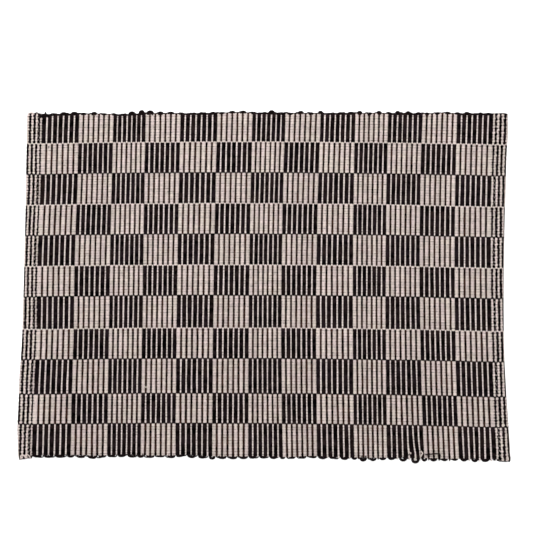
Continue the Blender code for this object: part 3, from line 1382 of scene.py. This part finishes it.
@dataclass
class LooseYarns:
    """The few runs that don't lie in the weave: where a weft starts, pulled threads and neps."""

    rings: int = 14
    tip: float = 0.35  # how thick a run's ends are, as a share of its middle
    bluntness: int = 8  # the power by which a run thins towards its ends
    black_ply_pitch: float = 2.6 * MM
    natural_ply_pitch: float = 1.8 * MM
    black_runs: tuple[LooseRun, ...] = (
        # The thick weft's start at the far left corner.
        LooseRun(
            1.60,
            (
                (-213.5, 160.6, 1.9), (-212.3, 161.9, 2.3), (-210.3, 162.9, 2.5),
                (-207.9, 163.4, 2.5), (-205.9, 162.8, 2.3), (-204.2, 161.4, 1.8),
            ),
        ),
        # The tuft at its tip.
        LooseRun(0.62, ((-207.3, 164.2, 2.3), (-208.0, 165.6, 2.1), (-208.4, 166.6, 1.9))),
        # The thick weft's end at the near right corner.
        LooseRun(
            1.35,
            ((219.3, -162.0, 1.5), (219.4, -163.4, 1.5), (219.5, -164.6, 1.5), (219.5, -165.6, 1.5)),
        ),
        # A hook beside the weft's start.
        LooseRun(
            0.52,
            ((-218.3, 164.4, 2.5), (-216.7, 165.5, 2.7), (-215.1, 165.1, 2.8), (-214.2, 163.6, 2.4)),
        ),
        # A thread pulled along the near edge, left of that end.
        LooseRun(
            0.56,
            (
                (152.6, -159.5, 2.9), (155.2, -159.7, 3.55), (158.1, -159.2, 3.7),
                (161.9, -158.8, 3.7), (165.7, -158.8, 3.7), (167.6, -159.7, 3.55),
                (167.3, -161.6, 3.3), (167.8, -164.6, 1.9),
            ),
        ),
        # A short one that crosses a rib there.
        LooseRun(0.40, ((137.0, -159.8, 2.5), (138.4, -159.7, 2.9), (139.8, -159.6, 2.5))),
        # A nep near the far left corner.
        LooseRun(0.46, ((-205.5, 132.8, 2.8), (-204.6, 133.1, 2.95), (-203.8, 133.0, 2.8))),
        # A smaller one, further along.
        LooseRun(0.32, ((-91.8, 90.1, 2.8), (-91.3, 90.3, 2.9), (-90.8, 90.2, 2.8))),
    )
    natural_runs: tuple[LooseRun, ...] = (
        # A cap over the far left corner's hook.
        LooseRun(
            0.68,
            (
                (-224.4, 163.3, 1.9), (-223.4, 165.0, 2.3), (-221.3, 165.5, 2.5),
                (-219.3, 165.0, 2.5), (-218.3, 163.3, 2.2),
            ),
        ),
        # A pulled end on the left half.
        LooseRun(
            0.50,
            ((-113.9, -95.1, 2.6), (-112.5, -95.5, 3.0), (-111.0, -95.4, 3.0), (-110.0, -96.5, 2.6)),
        ),
        # A pulled end near the near edge, at the right.
        LooseRun(
            0.52,
            ((137.9, -156.6, 2.5), (138.8, -157.9, 3.0), (139.8, -158.2, 3.1), (139.2, -159.3, 2.6)),
        ),
        # A kinked one beside it.
        LooseRun(
            0.62,
            (
                (149.1, -156.0, 2.5), (150.3, -157.6, 3.0), (150.9, -158.8, 3.1),
                (149.8, -160.2, 3.0), (149.4, -162.0, 2.5),
            ),
        ),
        # A knob in the turn that stands out most.
        LooseRun(
            0.95,
            ((144.0, -160.4, 2.1), (144.3, -162.6, 2.3), (144.0, -164.2, 2.1), (143.8, -165.4, 1.8)),
        ),
        # Turns at the near ends of the hems: three at the left.
        LooseRun(
            0.62,
            ((-231.6, -160.4, 2.5), (-231.4, -162.2, 2.5), (-231.2, -163.7, 2.1), (-230.8, -164.7, 1.5)),
        ),
        LooseRun(
            0.66,
            ((-229.2, -160.2, 2.8), (-227.8, -160.9, 2.9), (-226.9, -162.3, 2.7), (-226.7, -164.0, 1.8)),
        ),
        LooseRun(
            0.60,
            ((-225.2, -159.4, 2.8), (-223.9, -160.4, 2.9), (-222.8, -161.7, 2.7), (-222.3, -163.3, 1.8)),
        ),
        # Two at the right.
        LooseRun(
            0.80,
            ((226.7, -161.6, 2.8), (227.2, -163.2, 2.9), (227.7, -164.8, 2.6), (227.8, -166.0, 1.8)),
        ),
        LooseRun(
            0.80,
            ((231.4, -161.2, 2.8), (231.9, -162.6, 2.9), (232.3, -163.9, 2.7), (232.4, -165.0, 2.2)),
        ),
    )

    def build(
        self, name: str, runs: tuple[LooseRun, ...], ply_pitch: float, yarn: bpy.types.Material
    ) -> bpy.types.Object:
        """Builds some of the runs as one piece.

        Args:
            name: The piece's name.
            runs: The runs.
            ply_pitch: How long one turn of the yarn's plies is.
            yarn: The yarn's material.

        Returns:
            The finished piece.
        """
        share = np.linspace(0.0, 1.0, self.rings + 1)
        body = np.sqrt(np.clip(1.0 - (2.0 * share - 1.0) ** self.bluntness, 0.0, 1.0))
        thick = self.tip + (1.0 - self.tip) * body
        paths = np.stack([run.path(self.rings) for run in runs])
        radii = np.stack([run.radius * MM * thick for run in runs])
        tubes = YarnRuns(sides=7, rings=self.rings, ply_pitch=ply_pitch)
        return tubes.build(name, paths, radii, yarn)

    def build_black(self, yarn: bpy.types.Material) -> bpy.types.Object:
        """Builds the black runs."""
        return self.build("loose_black_yarn", self.black_runs, self.black_ply_pitch, yarn)

    def build_natural(self, yarn: bpy.types.Material) -> bpy.types.Object:
        """Builds the natural runs."""
        return self.build("loose_natural_yarn", self.natural_runs, self.natural_ply_pitch, yarn)


def read_points(mesh: bpy.types.Mesh) -> Floats:
    """Reads a mesh's points, a row of X, Y and Z for each."""
    places = np.empty(len(mesh.vertices) * 3, np.float32)
    mesh.vertices.foreach_get("co", places)
    return places.reshape(-1, 3).astype(float)


def write_points(mesh: bpy.types.Mesh, places: Floats) -> None:
    """Moves a mesh's points to new places."""
    mesh.vertices.foreach_set("co", places.astype(np.float32).ravel())
    mesh.update()


def read_corners(mesh: bpy.types.Mesh) -> Whole:
    """Reads the points of each face of a mesh of four-sided faces."""
    corners = np.empty(len(mesh.loops), np.int32)
    mesh.loops.foreach_get("vertex_index", corners)
    return corners.reshape(-1, 4).astype(int)


def write_map(mesh: bpy.types.Mesh, name: str, places: Floats) -> None:
    """Writes a UV map, given the place of each corner of each face."""
    layer = mesh.uv_layers.new(name=name, do_init=False)
    layer.uv.foreach_set("vector", places.astype(np.float32).ravel())


def finished(
    name: str, mesh: bpy.types.Mesh, materials: list[bpy.types.Material]
) -> bpy.types.Object:
    """Makes a piece of a mesh, dressed and shaded smooth up to an angle, and reports it.

    Args:
        name: The piece's name.
        mesh: Its mesh, in place.
        materials: Its materials.

    Returns:
        The piece, which rides on the mat's body.
    """
    for material in materials:
        mesh.materials.append(material)
    mesh.polygons.foreach_set("use_smooth", np.ones(len(mesh.polygons), bool))
    mesh.set_sharp_from_angle(angle=SHARP_ANGLE)
    mesh.validate()
    piece = bpy.data.objects.new(name, mesh)
    bpy.context.scene.collection.objects.link(piece)
    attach(piece, BODY)
    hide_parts(SOLID)
    triangles = sum(len(polygon.vertices) - 2 for polygon in mesh.polygons)
    LOG.info("%s: %d triangles", name, triangles)
    return piece


class Bench:
    """Places and joins the nodes of one material."""

    def __init__(self, material: bpy.types.Material) -> None:
        """Takes the material's nodes in hand."""
        material.use_nodes = True
        self.tree = material.node_tree
        self.shader = self.tree.nodes["Principled BSDF"]

    def node(self, kind: str, **settings: object) -> bpy.types.Node:
        """Places a node.

        Args:
            kind: Its type's name.
            **settings: Its settings, by name.

        Returns:
            The node.
        """
        made = self.tree.nodes.new(kind)
        for name, value in settings.items():
            setattr(made, name, value)
        return made

    def feed(self, source: Socket | float, target: Socket) -> None:
        """Joins a socket to another, or sets a plain number on it."""
        if isinstance(source, bpy.types.NodeSocket):
            self.tree.links.new(source, target)
        else:
            target.default_value = source

    def math(self, operation: str, *values: Socket | float) -> Socket:
        """Works out a number from others.

        Args:
            operation: The Math node's operation.
            *values: Its inputs in order.

        Returns:
            The result.
        """
        made = self.node("ShaderNodeMath", operation=operation)
        for value, target in zip(values, made.inputs):
            self.feed(value, target)
        return made.outputs[0]

    def weighed(self, first: Socket, second: Socket, weights: tuple[float, float]) -> Socket:
        """Adds two numbers, each times its weight."""
        part = self.math("MULTIPLY", second, weights[1])
        return self.math("MULTIPLY_ADD", first, weights[0], part)

    def random(self, *keys: Socket | float) -> Socket:
        """Gives a number from 0 to 1 that is the same wherever the keys are."""
        joined = self.node("ShaderNodeCombineXYZ")
        for key, target in zip(keys, joined.inputs):
            self.feed(key, target)
        made = self.node("ShaderNodeTexWhiteNoise", noise_dimensions="3D")
        self.feed(joined.outputs[0], made.inputs["Vector"])
        return made.outputs["Value"]

    def clouds(self, size: float, detail: float = 2.0) -> Socket:
        """Gives a soft noise from 0 to 1 with clouds of a size, fixed to the object."""
        place = self.node("ShaderNodeTexCoord").outputs["Object"]
        made = self.node("ShaderNodeTexNoise")
        made.inputs["Scale"].default_value = 1.0 / size
        made.inputs["Detail"].default_value = detail
        self.feed(place, made.inputs["Vector"])
        return made.outputs["Fac"]

    def ramp(self, source: Socket, span: tuple[float, float]) -> Socket:
        """Turns a number into one that runs from 0 to 1 over a span of it."""
        made = self.node("ShaderNodeMapRange")
        self.feed(source, made.inputs["Value"])
        made.inputs["From Min"].default_value, made.inputs["From Max"].default_value = span
        return made.outputs["Result"]


class Chance(Enum):
    """What a random number is for. The values keep two of them from being alike."""

    NO_BAR = 2.5
    STRAND = 3.5
    # This one sets how deep the painted shade in each seam is.
    SEAM = 4.5
    RIB = 6.5
    BAR = 8.5


@dataclass(frozen=True)
class CottonFinish:
    """A cotton yarn as it shows in the cloth: strand by strand, bar by bar, with its fibres, and with
    painted shade between its strands.
    """

    name: str
    colour: Colour
    warm_colour: Colour  # where the yarn took the dye or the sun differently
    seam_weights: tuple[float, float]  # how u and v count up to the next strand
    thread_weights: tuple[float, float]  # how u and v count up to the next thread in a strand
    strand_tone: float = 0.05  # how much one strand may differ from another
    bar_tone: float = 0.04
    rib_tone: float = 0.0
    slow_tone: float = 0.06  # over a hand's breadth
    fibre_tone: float = 0.10
    seam_shade: float = 0.25  # painted shade: how much darker the groove between two strands is
    seam_shade_depths: tuple[float, float] = (0.3, 1.5)  # shares of that painted shade, from seam to seam
    seam_shade_width: float = 0.16  # of the painted shade, as a share of a strand
    slow_size: float = 40.0 * MM
    shade_patch_size: float = 1.4 * MM  # how far a seam's painted shade keeps up at a stretch
    shade_patch_span: tuple[float, float] = (0.42, 0.60)  # the clouds' values where a seam's painted shade sets in
    hue_size: float = 12.0 * MM
    hue_span: tuple[float, float] = (0.35, 0.65)  # the clouds' values from colour to warm colour
    fibre_size: float = 0.5 * MM
    fibre_detail: float = 3.0
    thread_height: float = 0.06 * MM
    fibre_height: float = 0.05 * MM
    roughness: float = 0.92
    gloss: float = 0.03  # the shader's specular level

    def material(self) -> bpy.types.Material:
        """Makes the yarn's material."""
        made = bpy.data.materials.new(self.name)
        bench = Bench(made)
        place = bench.node("ShaderNodeUVMap", uv_map=THREAD_MAP).outputs["UV"]
        split = bench.node("ShaderNodeSeparateXYZ")
        bench.feed(place, split.inputs[0])
        along, across = split.outputs["X"], split.outputs["Y"]
        seam = bench.weighed(along, across, self.seam_weights)
        rib = bench.math("FLOOR", along)
        bar = bench.math("FLOOR", seam)
        tone = self.tone(bench, rib, bar, seam)
        self.paint(bench, tone)
        self.emboss(bench, bench.weighed(along, across, self.thread_weights))
        bench.shader.inputs["Roughness"].default_value = self.roughness
        bench.shader.inputs["Specular IOR Level"].default_value = self.gloss
        return made

    def tone(self, bench: Bench, rib: Socket, bar: Socket, seam: Socket) -> Socket:
        """Works out how light the yarn is, with painted shade in the seams between strands.

        Args:
            bench: The material's nodes.
            rib: The rib, or the turn of a yarn.
            bar: The bar of that rib.
            seam: The place among the strands, with a whole number between two.

        Returns:
            The tone, about 1.
        """
        parity = bench.math("FLOORED_MODULO", rib, 2.0)
        strand = bench.random(bar, parity, Chance.STRAND.value)
        one_bar = bench.random(bar, rib, Chance.BAR.value)
        one_rib = bench.random(rib, Chance.NO_BAR.value, Chance.RIB.value)
        slow = bench.clouds(self.slow_size)
        fibres = bench.clouds(self.fibre_size, self.fibre_detail)
        total, middle = 1.0, 0.0
        for source, spread in (
            (strand, self.strand_tone),
            (one_bar, self.bar_tone),
            (one_rib, self.rib_tone),
            (slow, self.slow_tone),
            (fibres, self.fibre_tone),
        ):
            total = bench.math("MULTIPLY_ADD", source, 2.0 * spread, total)
            middle += spread
        total = bench.math("SUBTRACT", total, middle)
        # Painted shade: the seams between strands are darker, as the grooves there lie in shade.
        apart = bench.math("PINGPONG", seam, 0.5)
        nearest = bench.math("ROUND", seam)
        shade_patches = bench.ramp(bench.clouds(self.shade_patch_size, detail=1.0), self.shade_patch_span)
        least, most = self.seam_shade_depths
        depth = bench.random(nearest, rib, Chance.SEAM.value)
        depth = bench.math("MULTIPLY_ADD", depth, least - most, -least)
        depth = bench.math("MULTIPLY", depth, shade_patches)
        ramp = bench.node("ShaderNodeMapRange", interpolation_type="SMOOTHSTEP")
        bench.feed(apart, ramp.inputs["Value"])
        ramp.inputs["From Max"].default_value = self.seam_shade_width
        bench.feed(bench.math("MULTIPLY_ADD", depth, self.seam_shade, 1.0), ramp.inputs["To Min"])
        return bench.math("MULTIPLY", total, ramp.outputs["Result"])

    def paint(self, bench: Bench, tone: Socket) -> None:
        """Colours the yarn by its tone, with warmer places."""
        mix = bench.node("ShaderNodeMix", data_type="RGBA")
        warmth = bench.ramp(bench.clouds(self.hue_size, detail=1.0), self.hue_span)
        bench.feed(warmth, mix.inputs["Factor"])
        mix.inputs["A"].default_value = (*self.colour, 1.0)
        mix.inputs["B"].default_value = (*self.warm_colour, 1.0)
        scaled = bench.node("ShaderNodeVectorMath", operation="SCALE")
        bench.feed(mix.outputs["Result"], scaled.inputs[0])
        bench.feed(tone, scaled.inputs["Scale"])
        bench.feed(scaled.outputs["Vector"], bench.shader.inputs["Base Color"])

    def emboss(self, bench: Bench, threads: Socket) -> None:
        """Raises the threads of each strand and its fibres."""
        ridge = bench.math("SINE", bench.math("MULTIPLY", bench.math("FRACT", threads), math.pi))
        fibres = bench.clouds(self.fibre_size, self.fibre_detail)
        height = bench.weighed(ridge, fibres, (self.thread_height, self.fibre_height))
        bump = bench.node("ShaderNodeBump")
        bump.inputs["Distance"].default_value = 1.0
        bench.feed(height, bump.inputs["Height"])
        bench.feed(bump.outputs["Normal"], bench.shader.inputs["Normal"])


@dataclass(frozen=True)
class Finishes:
    """The finishes of the mat's yarns."""

    natural_warp: CottonFinish = CottonFinish(
        name="natural_warp_cotton",
        colour=(0.616, 0.512, 0.490),
        warm_colour=(0.602, 0.524, 0.468),
        seam_weights=(0.0, 1.0),
        thread_weights=(0.0, 4.0),
        bar_tone=0.09,
        rib_tone=0.08,
        slow_tone=0.08,
        fibre_tone=0.34,
        seam_shade=0.80,
        seam_shade_width=0.17,
        hue_size=9.0 * MM,
        fibre_size=0.9 * MM,
    )
    black_warp: CottonFinish = CottonFinish(
        name="black_warp_cotton",
        colour=(0.0082, 0.0050, 0.0064),
        warm_colour=(0.0096, 0.0056, 0.0054),
        seam_weights=(0.0, 1.0),
        thread_weights=(0.0, 4.0),
        strand_tone=0.40,
        bar_tone=0.90,
        rib_tone=0.20,
        slow_tone=0.20,
        fibre_tone=0.9,
        seam_shade=0.9,
        gloss=0.012,
        fibre_size=0.9 * MM,
    )
    # Painted light: a lighter copy of the natural yarn for the thin ribs, which lie lower, in the shade
    # of the thick ribs beside them.
    thin_natural_warp_painted_lighter: CottonFinish = replace(
        natural_warp,
        name="natural_warp_cotton_on_thin_ribs",
        colour=(0.740, 0.628, 0.606),
        warm_colour=(0.722, 0.632, 0.580),
    )
    # Painted light: a lighter, browner copy of the black yarn for the thin ribs.
    thin_black_warp_painted_lighter: CottonFinish = replace(
        black_warp,
        name="black_warp_cotton_on_thin_ribs",
        colour=(0.0225, 0.0100, 0.0082),
        warm_colour=(0.0240, 0.0110, 0.0078),
    )
    black_weft: CottonFinish = CottonFinish(
        name="black_weft_cotton",
        colour=(0.0080, 0.0054, 0.0064),
        warm_colour=(0.0092, 0.0058, 0.0056),
        seam_weights=(1.0, 3.0),
        thread_weights=(-6.0, 8.0),
        strand_tone=0.15,
        bar_tone=0.10,
        fibre_tone=0.45,
        seam_shade=0.6,
    )
    natural_thread: CottonFinish = CottonFinish(
        name="natural_sewing_cotton",
        colour=(0.680, 0.570, 0.540),
        warm_colour=(0.640, 0.570, 0.500),
        seam_weights=(1.0, 3.0),
        thread_weights=(-6.0, 8.0),
        bar_tone=0.06,
        fibre_tone=0.15,
        seam_shade=0.3,
    )

    @property
    def warp(self) -> tuple[CottonFinish, ...]:
        """The warp yarns in the order of Cotton, and then the same two painted lighter for the thin
        ribs.
        """
        return (self.natural_warp, self.black_warp, self.thin_natural_warp_painted_lighter, self.thin_black_warp_painted_lighter)


@dataclass
class Studio:
    """The plain pale table, the soft light and the camera straight above."""

    floor_reach: float = 6.0
    floor_drop: float = 0.02 * MM  # keeps the mat's lowest bars clear of the table
    floor_colour: Colour = (0.95, 0.95, 0.95)
    floor_glow: float = 0.5  # the table is a white light table, which leaves next to no shadow
    floor_roughness: float = 0.8
    floor_gloss: float = 0.1  # the shader's specular level
    white: Colour = (1.0, 1.0, 1.0)
    sky_strength: float = 0.76
    lamp_place: Triple = (-0.2, 0.9, 1.05)
    lamp_side: float = 0.8
    lamp_power: float = 12.5
    camera_place: Triple = (0.00244, 0.01923, 1.411)
    camera_lens: float = 100.0
    camera_sensor: float = 36.0

    def build_floor(self) -> None:
        """Lays the table's top under the mat."""
        work = bmesh.new()
        bmesh.ops.create_grid(work, x_segments=1, y_segments=1, size=self.floor_reach)
        bmesh.ops.translate(work, verts=work.verts, vec=(0.0, 0.0, -self.floor_drop))
        mesh = poured(work, "table_top")
        paint = bpy.data.materials.new("white_paint")
        bench = Bench(paint)
        bench.shader.inputs["Base Color"].default_value = (*self.floor_colour, 1.0)
        bench.shader.inputs["Roughness"].default_value = self.floor_roughness
        bench.shader.inputs["Specular IOR Level"].default_value = self.floor_gloss
        bench.shader.inputs["Emission Color"].default_value = (*self.white, 1.0)
        bench.shader.inputs["Emission Strength"].default_value = self.floor_glow
        mesh.materials.append(paint)
        floor = bpy.data.objects.new("table_top", mesh)
        bpy.context.scene.collection.objects.link(floor)

    def build_light(self) -> None:
        """Sets an even white sky and one large soft lamp."""
        world = bpy.data.worlds.new("studio")
        world.use_nodes = True
        sky = world.node_tree.nodes["Background"]
        sky.inputs["Color"].default_value = (*self.white, 1.0)
        sky.inputs["Strength"].default_value = self.sky_strength
        bpy.context.scene.world = world
        light = bpy.data.lights.new("softbox", "AREA")
        light.shape = "SQUARE"
        light.size = self.lamp_side
        light.energy = self.lamp_power
        lamp = bpy.data.objects.new("softbox", light)
        lamp.location = self.lamp_place
        lamp.rotation_euler = (-Vector(self.lamp_place)).to_track_quat("-Z", "Y").to_euler()
        bpy.context.scene.collection.objects.link(lamp)

    def build_camera(self) -> None:
        """Hangs the camera straight above the mat, with its picture's top towards the far edge."""
        scene = bpy.context.scene
        lens = bpy.data.cameras.new("camera")
        lens.lens = self.camera_lens
        lens.sensor_width = self.camera_sensor
        camera = bpy.data.objects.new("camera", lens)
        camera.location = self.camera_place
        scene.collection.objects.link(camera)
        scene.camera = camera
        scene.view_settings.view_transform = "Standard"


def main() -> None:
    """Builds the mat and its setting, piece by piece."""
    logging.basicConfig(level=logging.INFO, format="%(message)s")
    studio = Studio()
    studio.build_camera()
    studio.build_floor()
    studio.build_light()

    weave = Weave()
    laid = LaidCloth(weave, FoldLine.of_solid(SOLID))
    finishes = Finishes()
    warp = [finish.material() for finish in finishes.warp]
    weft = finishes.black_weft.material()
    thread = finishes.natural_thread.material()
    beside: list[bpy.types.Object] = []
    for turns in (WeftTurns.along_far_edge(laid), WeftTurns.along_near_edge(laid)):
        beside += [turns.build_thick(weft), turns.build_thin(weft), turns.build_hems(weft)]
    beside += [HemStitches(laid, side).build(thread) for side in Hem]
    loose = LooseYarns()
    beside += [loose.build_black(weft), loose.build_natural(thread)]
    # The lengths meet after the third, the seventh and the tenth block.
    cuts = [weave.first_rib + blocks * weave.ribs_in_block for blocks in (3, 7, 10)]
    lengths = (
        ClothLength("cloth_left_hem_length", laid, weave.first_pick, cuts[0]),
        ClothLength("cloth_left_length", laid, cuts[0], cuts[1]),
        ClothLength("cloth_right_length", laid, cuts[1], cuts[2]),
        ClothLength("cloth_right_hem_length", laid, cuts[2], weave.last_pick),
    )
    for length in lengths:
        piece = length.build(warp)
        length.flat_size()


if __name__ == "__main__":
    main()
